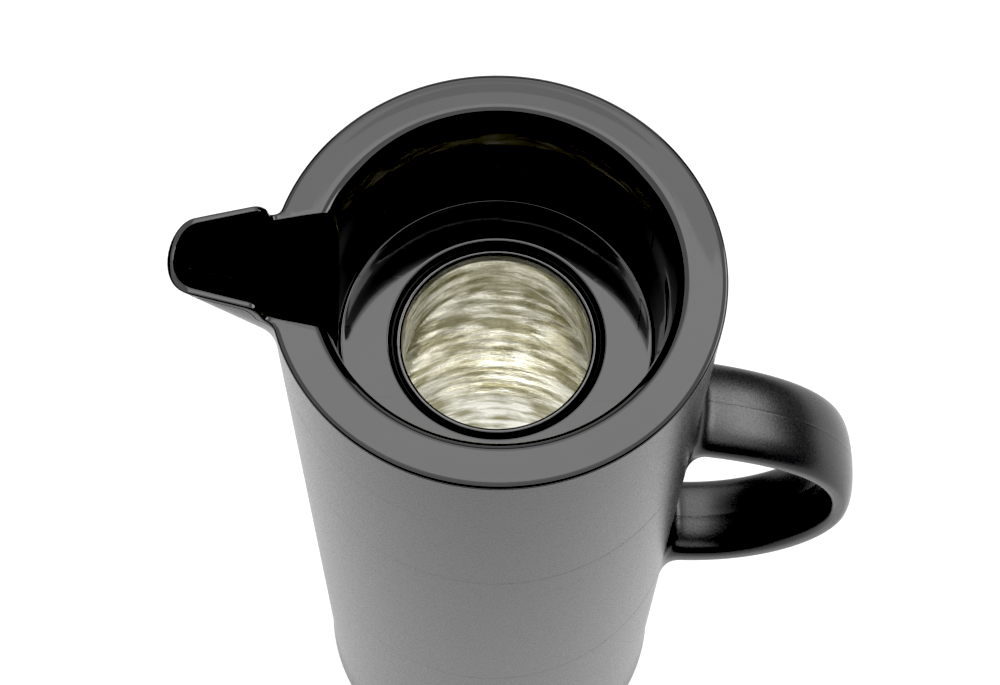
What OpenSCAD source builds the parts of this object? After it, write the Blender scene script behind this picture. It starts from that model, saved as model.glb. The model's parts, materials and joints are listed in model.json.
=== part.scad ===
// Insulated pouring jug: a silvered glass flask in a plastic shell with a strap handle and a beak spout.
// Millimetres, +Z up. The origin is on the jug's axis in the plane of the foot. The handle is on +X and
// the spout on -X. The base unscrews with a right-hand thread, and the flask comes out downwards.

/* [Shell] */
// Outer radius of the cylindrical shell
shell_r = 54; // [53:0.5:56]
// Height of the rim plane above the foot
rim_h = 268; // [262:1:280]
// Wall thickness of the shell
shell_wall = 2.5; // [2.2:0.1:2.8]
// How far the foot flares out beyond the shell
foot_flare = 0.8; // [0.4:0.1:2]

/* [Collar] */
// Inner radius of the rim where it turns down into the well
rim_inner_r = 42.2; // [41.5:0.1:43]
// Depth of the well from the rim plane to its floor
well_depth = 36.4; // [35:0.1:38]
// Radius of the well at the foot of its wall
well_foot_r = 39.3; // [38.5:0.1:39.6]
// Radius of the hole in the well's floor, around the flask's neck
neck_hole_r = 26.8; // [26.6:0.1:27]
// How far the stopper's lugs stand out of the well's wall
lug_proud = 1.7; // [1:0.1:1.9]

/* [Spout] */
// Distance from the axis to the tip of the spout
spout_reach = 78.8; // [75:0.1:82]
// Height of the spout's lip above the rim plane
lip_rise = 6.7; // [5:0.1:8]
// Plan radius of the spout's rounded tip
tip_r = 10.3; // [9:0.1:11.5]
// Depth below the rim plane where the spout's underside meets the shell
spout_drop = 20.5; // [17:0.5:24]

/* [Handle] */
// Reach of the strap's centre line from the axis
strap_reach = 100; // [96:1:108]
// Height of the strap's upper root
strap_top_z = 189.7; // [184:0.1:196]
// Height of the strap's lower root
strap_low_z = 98; // [92:1:104]
// Half width of the strap at its upper root
strap_half_w = 13.4; // [12:0.1:15]
// Radius of the fillets between strap and shell
root_fillet = 5; // [3:0.5:6]

/* [Flask] */
// Outer radius of the glass flask
flask_r = 48.3; // [47.8:0.1:48.3]
// Outer radius of the flask's neck
flask_neck_r = 25.6; // [25.2:0.1:25.6]
// Thickness of each glass wall
glass = 1.5; // [1.2:0.1:1.8]
// Evacuated gap between the two glass walls
vacuum_gap = 4.2; // [3.5:0.1:5]

/* [Base] */
// Pitch of the base thread
thread_pitch = 6; // [5:0.5:6]
// Height of the collar of thread on the base
thread_h = 9; // [8:0.5:10]
// Outer radius of the foot ring
foot_r = 47; // [44:0.5:48]

/* [Hidden] */
$fn = 96;

part_gap = 0.3;                      // air between pieces that move apart
bore_r = shell_r - shell_wall;       // inside of the shell
shell_edge_z = 0.8;                  // lower edge of the shell, clear of the table
flare_h = 18;                        // height over which the foot flares
rim_seam_z = rim_h - 0.4;            // joint line between shell and collar
rim_crown = 0.74;                    // how far the rim swells above its plane
rim_skirt_h = 12;                    // depth of the collar's skirt inside the shell
skin = 2;                            // wall of the collar
foot_round = 0.8;                    // radius between the well's wall and floor, and at the neck hole
hole_z = rim_h - well_depth;         // the well's floor
land_r = rim_inner_r - 1.2;          // true round land of the well's wall, which guides the stopper
land_z = [rim_h - 20, rim_h - 8];
hole_h = 2.6;                        // height of the true round wall of the neck hole
lug_top_z = rim_h - 24;
lug_low_z = rim_h - 30;
lug_end_deg = 39;                    // the lugs of one side run from here to 180 - this

lip_land = 1.6;                      // visible height of the glossy lip
lip_fall = 1.9;                      // the lip's top falls this much towards the tip
lip_fall_x = -71.6;                  // where that fall starts
lip_w = 1.7;                         // width of the lip on top
tip_lip_w = 2.2;                     // width of the lip at the tip
beak_skin = 0.8;                     // matte skin outside the trough
root_x = -54.5;                      // where the beak leaves the rim
root_half_w = 14;                    // half width of the beak there
beak_in_x = -50;                     // the beak's form starts inside the shell's wall
beak_slope = (spout_drop + lip_rise) / (spout_reach + root_x);
beak_depth = beak_slope * (spout_reach + beak_in_x);
gate_x = -37;                        // where the trough opens into the well
gate_half_w = 15.6;
gate_depth = 35.6;                   // depth of the trough's floor there, below the rim plane

strap_t0 = 4.4;                      // half thickness at the upper root
strap_t1 = 3.7;                      // half thickness at the outer bend
strap_t2 = 6.2;                      // half thickness at the lower root
strap_low_half_w = 12.2;
strap_root_x = 50;
strap_path = [
    [strap_root_x, strap_top_z], [80, strap_top_z - 6.9], [strap_reach, strap_top_z - 22.9],
    [strap_reach, 139.3],
    [strap_reach, strap_low_z + 20.5], [81, strap_low_z - 6.2], [strap_root_x, strap_low_z]
];
strap_steps = 18;                    // stations along each half of the strap

flask_base_z = 20;                   // underside of the flask's dished bottom
flask_dish = 22;                     // height of the dished bottom
shoulder_z = 196;                    // where the shoulder starts to close in
shoulder_h = 20;
lip_z = rim_h - 37.5;                // top of the glass lip
inner_r = flask_r - glass - vacuum_gap;
neck_wall = 0.8;                     // each wall in the neck, where the glass is drawn thin
lip_round = 0.85;                    // radius of the rolled lip
pad_count = 3;

band_r = 48.6;                       // bore of the thread ring
band_z = [5, 22];
skirt_r = band_r - 0.4;              // root radius of the thread on the base
thread_z = 7.2;                      // height of the thread's first turn at its start
thread_start = 23;                   // where round the axis the thread starts
thread_proud = 1.5;
thread_root = 2.4;                   // half height of the thread 1 mm under its root
thread_crest = 0.9;                  // half height of the thread at its crest
thread_fit = 0.35;                   // clearance of the thread all round
plate_z = [1, 3.6];                  // the base's plate
grip_r = 21;                         // radius of the finger dish under the base
grip_top_z = 8;
grip_bar = 7;                        // width of the grip bar across the dish
cushion_r = [30, 39];
seat_z = 17;                         // top of the ring that carries the cushion
foot_w = 6;                          // width of the foot ring
foot_h = 1.8;

function arc(cx, cz, r, a0, a1, n = 6) =
    [for (i = [0 : n]) let (a = a0 + (a1 - a0) * i / n) [cx + r * cos(a), cz + r * sin(a)]];
function bezier(p, t) =
    pow(1 - t, 3) * p[0] + 3 * pow(1 - t, 2) * t * p[1] + 3 * (1 - t) * t * t * p[2] + pow(t, 3) * p[3];
function bezier_dir(p, t) =
    pow(1 - t, 2) * (p[1] - p[0]) + 2 * (1 - t) * t * (p[2] - p[1]) + t * t * (p[3] - p[2]);
function sgn_pow(v, e) = sign(v) * pow(abs(v), e);

// Faces of a tube of rings: n points on each of m rings, counter-clockwise about the way they go on.
function tube_faces(m, n) = concat(
    [[for (j = [0 : n - 1]) j]],
    [for (i = [0 : m - 2], j = [0 : n - 1]) [(i + 1) * n + j, i * n + (j + 1) % n, i * n + j]],
    [for (i = [0 : m - 2], j = [0 : n - 1])
        [(i + 1) * n + j, (i + 1) * n + (j + 1) % n, i * n + (j + 1) % n]],
    [[for (j = [0 : n - 1]) m * n - 1 - j]]
);
function flipped(faces) = [for (f = faces) reversed(f)];
function reversed(v) = [for (i = [len(v) - 1 : -1 : 0]) v[i]];

// ---- handle ----------------------------------------------------------------------------------------
// A strap of D section, crowned outside and flatter inside, that thickens into fillets at its roots.
function strap_half(u) = u < 0.5 ? [for (i = [0 : 3]) strap_path[i]] : [for (i = [3 : 6]) strap_path[i]];
function strap_at(u) = bezier(strap_half(u), u < 0.5 ? 2 * u : 2 * u - 1);
function strap_dir(u) =
    let (d = bezier_dir(strap_half(u), u < 0.5 ? 2 * u : 2 * u - 1)) d / norm(d);
function strap_t(u) =
    u < 0.5 ? strap_t0 + (strap_t1 - strap_t0) * 2 * u : strap_t1 + (strap_t2 - strap_t1) * (2 * u - 1);
function root_swell(x) =
    let (d = min(root_fillet, max(0, root_fillet - (x - shell_r + 1))))
    root_fillet - sqrt(pow(root_fillet, 2) - pow(d, 2));
function strap_ring(u, n) =
    let (
        p = strap_at(u), d = strap_dir(u), e = root_swell(p[0]),
        w = strap_half_w + (strap_low_half_w - strap_half_w) * u + e, t = strap_t(u) + e
    )
    [for (j = [0 : n - 1])
        let (
            a = 360 * j / n, k = sin(a) >= 0 ? 2 / 2.3 : 2 / 4,
            y = w * sgn_pow(cos(a), k), b = t * sgn_pow(sin(a), k)
        )
        [p[0] - d[1] * b, y, p[1] + d[0] * b]];

module strap() {
    n = 28;
    // stations crowd towards the roots, where the fillets turn
    stations = [for (i = [0 : 2 * strap_steps]) (1 - cos(90 * i / strap_steps)) / 2];
    polyhedron(
        points = [for (u = stations) each strap_ring(u, n)],
        faces = tube_faces(len(stations), n),
        convexity = 6
    );
}

// ---- spout -----------------------------------------------------------------------------------------
// Upright plate across the spout: straight sides above a half-elliptical bottom.
module beak_section(x, half_w, floor_z, top_z) {
    spring_z = rim_h + lip_rise;
    translate([x, 0, 0])
        rotate([90, 0, 90])
            linear_extrude(0.2)
                polygon(concat(
                    [for (i = [0 : 16]) let (a = 180 + 180 * i / 16)
                        [half_w * cos(a), spring_z + (spring_z - floor_z) * sin(a)]],
                    [[half_w, top_z], [-half_w, top_z]]
                ));
}

// The beak's solid form, shrunk on its sides by inset, on its tip by tip_inset, and open up to top_z.
module beak_form(inset, tip_inset, top_z) {
    spring_z = rim_h + lip_rise;
    hull() {
        translate([-(spout_reach - tip_r) + (tip_inset - inset), 0, spring_z - 0.1])
            cylinder(r = tip_r - inset, h = top_z - spring_z + 0.1, $fn = 40);
        beak_section(beak_in_x, root_half_w + 1.1 - inset, spring_z - beak_depth + 1.5 * inset, top_z);
    }
}

// The trough's inner stretch, through the rim and into the well.
module gate_form(grow) {
    hull() {
        beak_section(root_x - 1, root_half_w - lip_w - 0.2 + grow,
            rim_h - spout_drop + 1.5 * lip_w - grow, rim_h + lip_rise + 8);
        beak_section(gate_x, gate_half_w + grow, rim_h - gate_depth - grow, rim_h + lip_rise + 8);
    }
}

// Side view of the spout, extruded right across it: the lip falls to the tip and ends in a round corner.
module beak_side(lower) {
    corner = 3;
    top = rim_h + lip_rise - lower;
    end_x = root_x - lower;
    rotate([90, 0, 0])
        linear_extrude(60, center = true)
            polygon(concat(
                [[-30, rim_h - 60], [-90, rim_h - 60], [-90, top - 3.2]],
                [[-spout_reach, top - lip_fall], [lip_fall_x, top]],
                arc(end_x - corner, top - corner, corner, 90, 0),
                [[end_x, rim_seam_z - lower], [-30, rim_seam_z - lower]]
            ));
}

module trough_hollow() {
    beak_form(lip_w, tip_lip_w, rim_h + lip_rise + 8);
    gate_form(0);
}

module trough_body() {
    intersection() {
        union() {
            beak_form(beak_skin, beak_skin, rim_h + lip_rise + 4);
            gate_form(skin - 0.5);
        }
        beak_side(0);
    }
}

// ---- root body -------------------------------------------------------------------------------------
module outer_shell() {
    color("#3a3a3c")
        difference() {
            union() {
                rotate_extrude()
                    polygon(concat(
                        [[0, shell_edge_z]],
                        [for (i = [0 : 8]) let (t = i / 8)
                            [shell_r + foot_flare * pow(1 - t, 2), shell_edge_z + flare_h * t]],
                        [[shell_r, rim_seam_z], [0, rim_seam_z]]
                    ));
                strap();
                intersection() {
                    beak_form(0, 0, rim_h + lip_rise);
                    beak_side(lip_land);
                }
            }
            cylinder(r = bore_r, h = 3 * rim_h, center = true);
            trough_body();
        }
}

// Wall of the well from the rim's inner edge down to the neck hole, as radius and height.
function well_line() = concat(
    arc(rim_inner_r + 3.2, rim_h + rim_crown - 3.2, 3.2, 90, 165),
    [[land_r, land_z[1]], [land_r, land_z[0]]],
    arc(well_foot_r - foot_round, hole_z + foot_round, foot_round, 0, -90, 4),
    arc(neck_hole_r + foot_round, hole_z - foot_round, foot_round, 90, 180, 4)
);

module well_space() {
    rotate_extrude()
        polygon(concat(
            [[0, rim_h + 20], [rim_inner_r + 3.2, rim_h + 20]], well_line(), [[0, hole_z - foot_round]]
        ));
}

// One stopper lug: a bevelled ridge along the well's wall that tapers away at its outer end.
module stopper_lug(a0, a1, proud) {
    steps = 16;
    wall_r = well_foot_r + 1;
    mid = (lug_top_z + lug_low_z) / 2;
    half = (lug_top_z - lug_low_z) / 2;
    polyhedron(
        points = [for (i = [0 : steps])
            let (
                a = a0 + (a1 - a0) * i / steps,
                s = min(1, 4 * (1 - i / steps) + 0.05), h = half * s, r = wall_r - proud * s
            )
            each [for (q = [[wall_r + 2, -h], [wall_r, -h], [r, -0.55 * h], [r, 0.55 * h], [wall_r, h],
                            [wall_r + 2, h]])
                [q[0] * cos(a), q[0] * sin(a), mid + q[1]]]],
        faces = a1 > a0 ? tube_faces(steps + 1, 6) : flipped(tube_faces(steps + 1, 6))
    );
}

module pour_collar() {
    color("#101011") {
        difference() {
            union() {
                rotate_extrude()
                    polygon(concat(
                        [[shell_r - 0.8, rim_h + 0.35], [shell_r - 2.4, rim_h + rim_crown]],
                        well_line(),
                        [
                            [neck_hole_r, hole_z - hole_h], [neck_hole_r + 4, hole_z - hole_h],
                            [well_foot_r - 2, hole_z - hole_h], [well_foot_r + skin, hole_z + 1.2],
                            [land_r + skin, land_z[0]], [land_r + skin, land_z[1]],
                            [rim_inner_r + 3.4, rim_h - skin - 1],
                            [bore_r - skin, rim_h - skin - 1.6], [bore_r - skin, rim_h - rim_skirt_h],
                            [bore_r, rim_h - rim_skirt_h], [bore_r, rim_seam_z], [shell_r, rim_seam_z],
                            [shell_r, rim_h]
                        ]
                    ));
                trough_body();
                intersection() {
                    beak_form(0, 0, rim_h + lip_rise);
                    difference() {
                        beak_side(0);
                        beak_side(lip_land);
                    }
                }
            }
            trough_hollow();
            well_space();
        }
        for (side = [0, 180]) {
            rotate([0, 0, side]) {
                stopper_lug(89.4, lug_end_deg, lug_proud);
                stopper_lug(90, 180 - lug_end_deg, lug_proud - 0.4);
            }
        }
    }
}

// Rubber ring between the collar's skirt and the shell's wall.
module collar_seal() {
    color("#1c1c1c")
        difference() {
            rotate_extrude()
                translate([bore_r - 1, rim_h - rim_skirt_h - 1])
                    circle(r = 1, $fn = 24);
            trough_body();
        }
}

// Rubber ring that grips the glass neck and closes the hole in the well's floor.
module neck_gasket() {
    lip_r = flask_neck_r + part_gap;
    color("#0c0c0c")
        rotate_extrude()
            polygon([
                [lip_r, lip_z - 8], [neck_hole_r + 3, lip_z - 8],
                [neck_hole_r + 3, hole_z - hole_h], [neck_hole_r, hole_z - hole_h],
                [neck_hole_r, lip_z - 0.6], [neck_hole_r - 0.4, lip_z - 0.2],
                [lip_r, lip_z - 0.6]
            ]);
}

// Outline of a flask wall: dished bottom, straight side, rounded shoulder and neck, as radius and height.
function flask_line(r, neck, base_z, dish, shoulder, rise, top_z) = concat(
    [for (i = [0 : 12]) let (a = 90 * i / 12) [r * sin(a), base_z + dish * (1 - cos(a))]],
    [for (i = [0 : 10]) let (a = 80 * i / 10)
        [neck + 2 + (r - neck - 2) * cos(a), shoulder + rise * sin(a)]],
    [[neck, shoulder + rise + 1.5], [neck, top_z]]
);

function outer_line(grow) = flask_line(
    flask_r + grow, flask_neck_r + grow, flask_base_z - grow, flask_dish,
    shoulder_z, shoulder_h + grow, lip_z - lip_round
);

// Foam block on the flask's shoulder that keeps it central in the shell.
module shoulder_pad(index) {
    color("#4a4a48")
        intersection() {
            rotate([0, 0, 60 + 360 * index / pad_count])
                translate([39, -9, shoulder_z - 2])
                    cube([bore_r - 39, 18, 20]);
            difference() {
                cylinder(r = bore_r, h = rim_h);
                rotate_extrude()
                    polygon(concat(outer_line(part_gap), [[0, lip_z]]));
            }
        }
}

module shoulder_pad_1() {
    shoulder_pad(0);
}

module shoulder_pad_2() {
    shoulder_pad(1);
}

module shoulder_pad_3() {
    shoulder_pad(2);
}

// Right-hand helical ridge, from one turn number to another, that passes the height thread_z at turn 0.
module helix(r, proud, grow, from, to) {
    turns = to - from;
    steps = ceil(turns * 32);
    polyhedron(
        points = [for (i = [0 : steps])
            let (n = from + turns * i / steps, a = thread_start + 360 * n, h = thread_z + thread_pitch * n)
            each [for (q = [[r - 1, -thread_root - grow], [r + proud + grow, -thread_crest - grow],
                            [r + proud + grow, thread_crest + grow], [r - 1, thread_root + grow]])
                [q[0] * cos(a), q[0] * sin(a), h + q[1]]]],
        faces = flipped(tube_faces(steps + 1, 4)),
        convexity = 6
    );
}

// Threaded ring welded into the foot of the shell.
module base_thread_ring() {
    color("#2b2b2d")
        difference() {
            rotate_extrude()
                polygon([
                    [band_r, band_z[0]], [bore_r, band_z[0]], [bore_r, band_z[1]], [bore_r - 0.8, band_z[1]],
                    [band_r, band_z[1] - 4]
                ]);
            helix(skirt_r, thread_proud, thread_fit, -2, 1.06);
        }
}

// ---- flask body ------------------------------------------------------------------------------------
module flask_inner() {
    r = inner_r;
    neck = flask_neck_r - neck_wall - 0.2;
    base_z = flask_base_z + glass + vacuum_gap;
    color("#cfc9a8")
        rotate_extrude()
            polygon(concat(
                flask_line(r, neck, base_z, flask_dish - 2,
                    shoulder_z - 3, shoulder_h - 3, lip_z - lip_round),
                arc(flask_neck_r - lip_round, lip_z - lip_round, lip_round, 0, 180, 8),
                reversed(flask_line(r - glass, flask_neck_r - 2 * lip_round, base_z + glass,
                    flask_dish - 2, shoulder_z - 3, shoulder_h - 4.5, lip_z - 2.5))
            ));
}

// Outer glass wall with the sealed-off pumping stem under its middle.
module flask_outer() {
    color("#b9b9b4")
        rotate_extrude()
            polygon(concat(
                [[0, flask_base_z - 7.5], [1.6, flask_base_z - 6.5]],
                [[3, flask_base_z - 3], [4, flask_base_z + 0.08]],
                [for (p = outer_line(0)) if (p[0] > 5) p],
                reversed(flask_line(flask_r - glass, flask_neck_r - neck_wall, flask_base_z + glass,
                    flask_dish, shoulder_z, shoulder_h - glass, lip_z - lip_round))
            ));
}

// Small mineral disc that keeps the two glass walls apart, curved to fit between them.
module spacer_pad(index) {
    color("#9a8f7a")
        rotate([0, 0, 360 * index / pad_count])
            intersection() {
                translate([inner_r - 1, 0, 70])
                    rotate([0, 90, 0])
                        cylinder(r = 6, h = vacuum_gap + 2, $fn = 32);
                difference() {
                    cylinder(r = inner_r + vacuum_gap, h = rim_h);
                    cylinder(r = inner_r, h = rim_h);
                }
            }
}

module spacer_pad_1() {
    spacer_pad(0);
}

module spacer_pad_2() {
    spacer_pad(1);
}

module spacer_pad_3() {
    spacer_pad(2);
}

// Rubber cap over the pumping stem.
module tip_guard() {
    color("#1a1a1a")
        difference() {
            translate([0, 0, flask_base_z - 9])
                cylinder(r = 7, h = 8.6);
            translate([0, 0, flask_base_z - 7.8])
                cylinder(r1 = 2.6, r2 = 4.6, h = 9);
        }
}

// ---- base body -------------------------------------------------------------------------------------
// Rubber ring that carries the flask and presses it up against the neck gasket.
module support_cushion() {
    color("#222222")
        difference() {
            translate([0, 0, seat_z])
                cylinder(r = cushion_r[1], h = 14);
            translate([0, 0, seat_z - 1])
                cylinder(r = cushion_r[0], h = 20);
            rotate_extrude()
                polygon(concat(outer_line(part_gap), [[0, lip_z]]));
        }
}

// Screw-in base: a plate with a threaded skirt, a ring that carries the cushion and a dish with a grip bar.
module base_cap() {
    color("#2e2e30") {
        difference() {
            union() {
                translate([0, 0, plate_z[0]])
                    cylinder(r = bore_r - 0.5, h = plate_z[1] - plate_z[0]);
                difference() {
                    cylinder(r = skirt_r, h = band_z[0] + thread_h + 3);
                    translate([0, 0, plate_z[0]])
                        cylinder(r = skirt_r - 2.4, h = rim_h);
                    cylinder(r = bore_r, h = plate_z[0]);
                }
                difference() {
                    translate([0, 0, plate_z[0]])
                        cylinder(r = cushion_r[1] - 2, h = seat_z - plate_z[0]);
                    cylinder(r = cushion_r[0] + 2, h = rim_h);
                }
                translate([0, 0, plate_z[0]])
                    cylinder(r = grip_r + 2, h = grip_top_z + 2 - plate_z[0]);
            }
            difference() {
                cylinder(r = grip_r, h = grip_top_z);
                translate([-grip_r - 1, -grip_bar / 2, 0])
                    cube([2 * grip_r + 2, grip_bar, grip_top_z]);
            }
            difference() {
                cylinder(r = foot_r + 0.1, h = plate_z[0] + 0.8);
                cylinder(r = foot_r - foot_w - 0.1, h = plate_z[0] + 0.8);
            }
        }
        helix(skirt_r, thread_proud, 0, 0, 1.02);
    }
}

// Flat sealing ring between the base's plate and the thread ring.
module base_seal() {
    color("#161616")
        difference() {
            translate([0, 0, plate_z[1]])
                cylinder(r = bore_r - 0.9, h = band_z[0] - plate_z[1] - part_gap);
            cylinder(r = skirt_r + 0.1, h = band_z[1]);
        }
}

// Anti-slip rubber ring that the jug stands on.
module foot_ring() {
    color("#181818")
        rotate_extrude()
            polygon([
                [foot_r - foot_w, 0.5], [foot_r - foot_w + 0.5, 0], [foot_r - 0.5, 0], [foot_r, 0.5],
                [foot_r, foot_h], [foot_r - foot_w, foot_h]
            ]);
}

outer_shell();
pour_collar();
collar_seal();
neck_gasket();
shoulder_pad_1();
shoulder_pad_2();
shoulder_pad_3();
base_thread_ring();
flask_inner();
flask_outer();
spacer_pad_1();
spacer_pad_2();
spacer_pad_3();
tip_guard();
support_cushion();
base_cap();
base_seal();
foot_ring();
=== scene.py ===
import json
import math

import bmesh
import bpy
import numpy as np
from mathutils import Matrix, Vector

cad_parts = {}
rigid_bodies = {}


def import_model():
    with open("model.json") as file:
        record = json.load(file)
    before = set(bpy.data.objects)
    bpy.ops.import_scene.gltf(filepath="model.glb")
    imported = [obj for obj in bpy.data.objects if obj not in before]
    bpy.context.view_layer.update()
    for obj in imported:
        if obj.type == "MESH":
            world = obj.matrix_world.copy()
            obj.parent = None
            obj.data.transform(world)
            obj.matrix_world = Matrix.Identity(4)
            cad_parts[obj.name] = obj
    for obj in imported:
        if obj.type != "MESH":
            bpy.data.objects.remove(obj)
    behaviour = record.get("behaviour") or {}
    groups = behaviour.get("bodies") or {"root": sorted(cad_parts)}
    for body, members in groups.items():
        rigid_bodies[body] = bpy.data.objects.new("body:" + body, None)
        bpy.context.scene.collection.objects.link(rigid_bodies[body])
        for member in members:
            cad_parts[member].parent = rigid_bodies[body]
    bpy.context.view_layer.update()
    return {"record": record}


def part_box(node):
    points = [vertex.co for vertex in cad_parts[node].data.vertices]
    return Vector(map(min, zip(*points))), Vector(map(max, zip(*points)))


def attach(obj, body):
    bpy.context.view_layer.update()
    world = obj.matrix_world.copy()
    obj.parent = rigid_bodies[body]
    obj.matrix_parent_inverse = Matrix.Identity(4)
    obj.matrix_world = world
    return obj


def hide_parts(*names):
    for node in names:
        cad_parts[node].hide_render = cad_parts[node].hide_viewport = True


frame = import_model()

# The forms below are worked out in millimetres in the CAD frame and become metres in make_mesh().
# Each form with a plane of symmetry is made as its +Y half, which make_mesh() mirrors.
MM = 0.001


def box_mm(node):
    low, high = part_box(node)
    return np.array(low) / MM, np.array(high) / MM


GLASS_LOW, GLASS_HIGH = box_mm("flask_inner")
SHELL_R = 54.0
SPRING_Z = box_mm("pour_collar")[1][2]  # plane of the spout's lip
RIM_Z = SPRING_Z - 6.7               # rim plane
SEAM_Z = RIM_Z - 0.4                 # joint line between shell and collar
CROWN_Z = RIM_Z + 0.74               # top of the rim's swell
FLOOR_Z = box_mm("neck_gasket")[1][2] + 1.3  # the well's floor
SHELL_EDGE_Z = box_mm("outer_shell")[0][2]
BORE_R = 51.5                        # inside of the shell
TIP_X = -77.2                        # tip of the spout
COLUMNS = 96                         # of half a turn
RIDGE = 0.05                         # height of the mould's parting line
RIDGE_W = 0.22                       # half width of it


# ---- small tools for curves and grids -----------------------------------------------------------
def unit(v):
    return v / np.maximum(np.linalg.norm(v, axis=-1, keepdims=True), 1e-12)


def bisect(test, low, high, turns=48):
    """Where test, which rises from below nought to above it, is nought; works on arrays."""
    low = np.array(low, float)
    high = np.array(high, float)
    for _ in range(turns):
        middle = (low + high) / 2
        above = test(middle) > 0
        high = np.where(above, middle, high)
        low = np.where(above, low, middle)
    return (low + high) / 2


def bend(a, corner, b, steps):
    """Points of a soft corner from a to b, both ends left out, for rows of points."""
    ts = [(k + 1) / (steps + 1) for k in range(steps)]
    return [(1 - t) ** 2 * a + 2 * t * (1 - t) * corner + t * t * b for t in ts]


def towards(a, b, distance):
    """The point at that distance from a on the way to b."""
    return a + unit(b - a) * distance


def polar(r, angle, z):
    return np.stack([r * np.cos(angle), r * np.sin(angle), z + 0 * angle], -1)


def smoothstep(t):
    t = np.clip(t, 0, 1)
    return t * t * (3 - 2 * t)


# ---- meshes -------------------------------------------------------------------------------------
def grid_faces(rows, columns, start, flip=False):
    faces = []
    for i in range(rows - 1):
        for j in range(columns - 1):
            a = start + i * columns + j
            face = (a, a + 1, a + columns + 1, a + columns)
            faces.append(face[::-1] if flip else face)
    return faces


def add_grids(bm, grids, mirror, weld):
    """Welds grids of points, each the +Y half with mirror, into a bmesh; gives back the new faces."""
    made = []
    for grid in grids:
        for side in ((1, -1) if mirror else (1,)):
            g = np.array(grid, float)
            g[..., 1] *= side
            verts = [bm.verts.new(p) for p in g.reshape(-1, 3) * MM]
            made += [bm.faces.new([verts[i] for i in face])
                     for face in grid_faces(g.shape[0], g.shape[1], 0, side < 0)]
    verts = list(dict.fromkeys(v for face in made for v in face.verts))
    bmesh.ops.remove_doubles(bm, verts=verts, dist=weld * MM)
    edges = list(dict.fromkeys(e for v in verts if v.is_valid for e in v.link_edges))
    bmesh.ops.dissolve_degenerate(bm, edges=edges, dist=weld * MM)
    return [face for face in made if face.is_valid]


def make_mesh(name, grids, details=(), mirror=True, weld=0.004, sharp=40.0, wall=0.0, out=(0, 0, 1)):
    """One object from grids of points, thickened by wall on the side away from out, with closed details."""
    bm = bmesh.new()
    add_grids(bm, grids, mirror, weld)
    bmesh.ops.recalc_face_normals(bm, faces=bm.faces)
    if sum(face.normal.dot(outward(face, out)) * face.calc_area() for face in bm.faces) < 0:
        bmesh.ops.reverse_faces(bm, faces=bm.faces)
    if wall:
        thicken(bm, wall * MM)
    if details:
        bmesh.ops.recalc_face_normals(bm, faces=add_grids(bm, details, mirror, weld))
    limit = math.radians(sharp)
    for face in bm.faces:
        face.smooth = True
    for edge in bm.edges:
        edge.smooth = len(edge.link_faces) == 2 and edge.calc_face_angle(0) < limit
    mesh = bpy.data.meshes.new(name)
    bm.to_mesh(mesh)
    bm.free()
    obj = bpy.data.objects.new(name, mesh)
    bpy.context.scene.collection.objects.link(obj)
    return obj


def thicken(bm, wall):
    """Gives an open skin an inner face and a rim."""
    bm.normal_update()
    skin = bm.faces[:]
    open_loops = [e.link_loops[0] for e in bm.edges if len(e.link_faces) == 1]
    rims = [(loop.link_loop_next.vert, loop.vert) for loop in open_loops]
    inner = {v: bm.verts.new(v.co - v.normal * wall) for v in bm.verts[:]}
    for face in skin:
        bm.faces.new([inner[v] for v in reversed(face.verts)])
    for a, b in rims:
        bm.faces.new((a, b, inner[b], inner[a]))


def outward(face, out):
    """The way out at a face: out itself, or away from the jug's axis if out is None."""
    if out is not None:
        return Vector(out)
    middle = face.calc_center_median()
    return Vector((middle.x, middle.y, 0)).normalized()


def revolve(profile, segments):
    """Grid of a whole turn of a (radius, height) line, for make_mesh without mirror."""
    line = np.array(profile, float)
    angles = np.linspace(0, 2 * math.pi, segments + 1)
    return np.stack([polar(r, angles, z) for r, z in line])


def round_line(points, radius, steps=4):
    """A line with its inner corners softened; radius is one number or one for each inner point."""
    p = np.array(points, float)
    inner = np.broadcast_to(np.array(radius, float), (len(p) - 2,))
    out = [p[0]]
    for i in range(1, len(p) - 1):
        reach = min(inner[i - 1], 0.49 * np.linalg.norm(p[i] - p[i - 1]),
                    0.49 * np.linalg.norm(p[i + 1] - p[i]))
        if reach < 0.01:
            out.append(p[i])
            continue
        a = towards(p[i], p[i - 1], reach)
        b = towards(p[i], p[i + 1], reach)
        out += [a, *bend(a, p[i], b, steps), b]
    return out + [p[-1]]


# ---- spout: ruled forms between a disc at the lip and a half ellipse in the rim --------------------
SECTION_X = -50.0                    # plane of the ellipse


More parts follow.
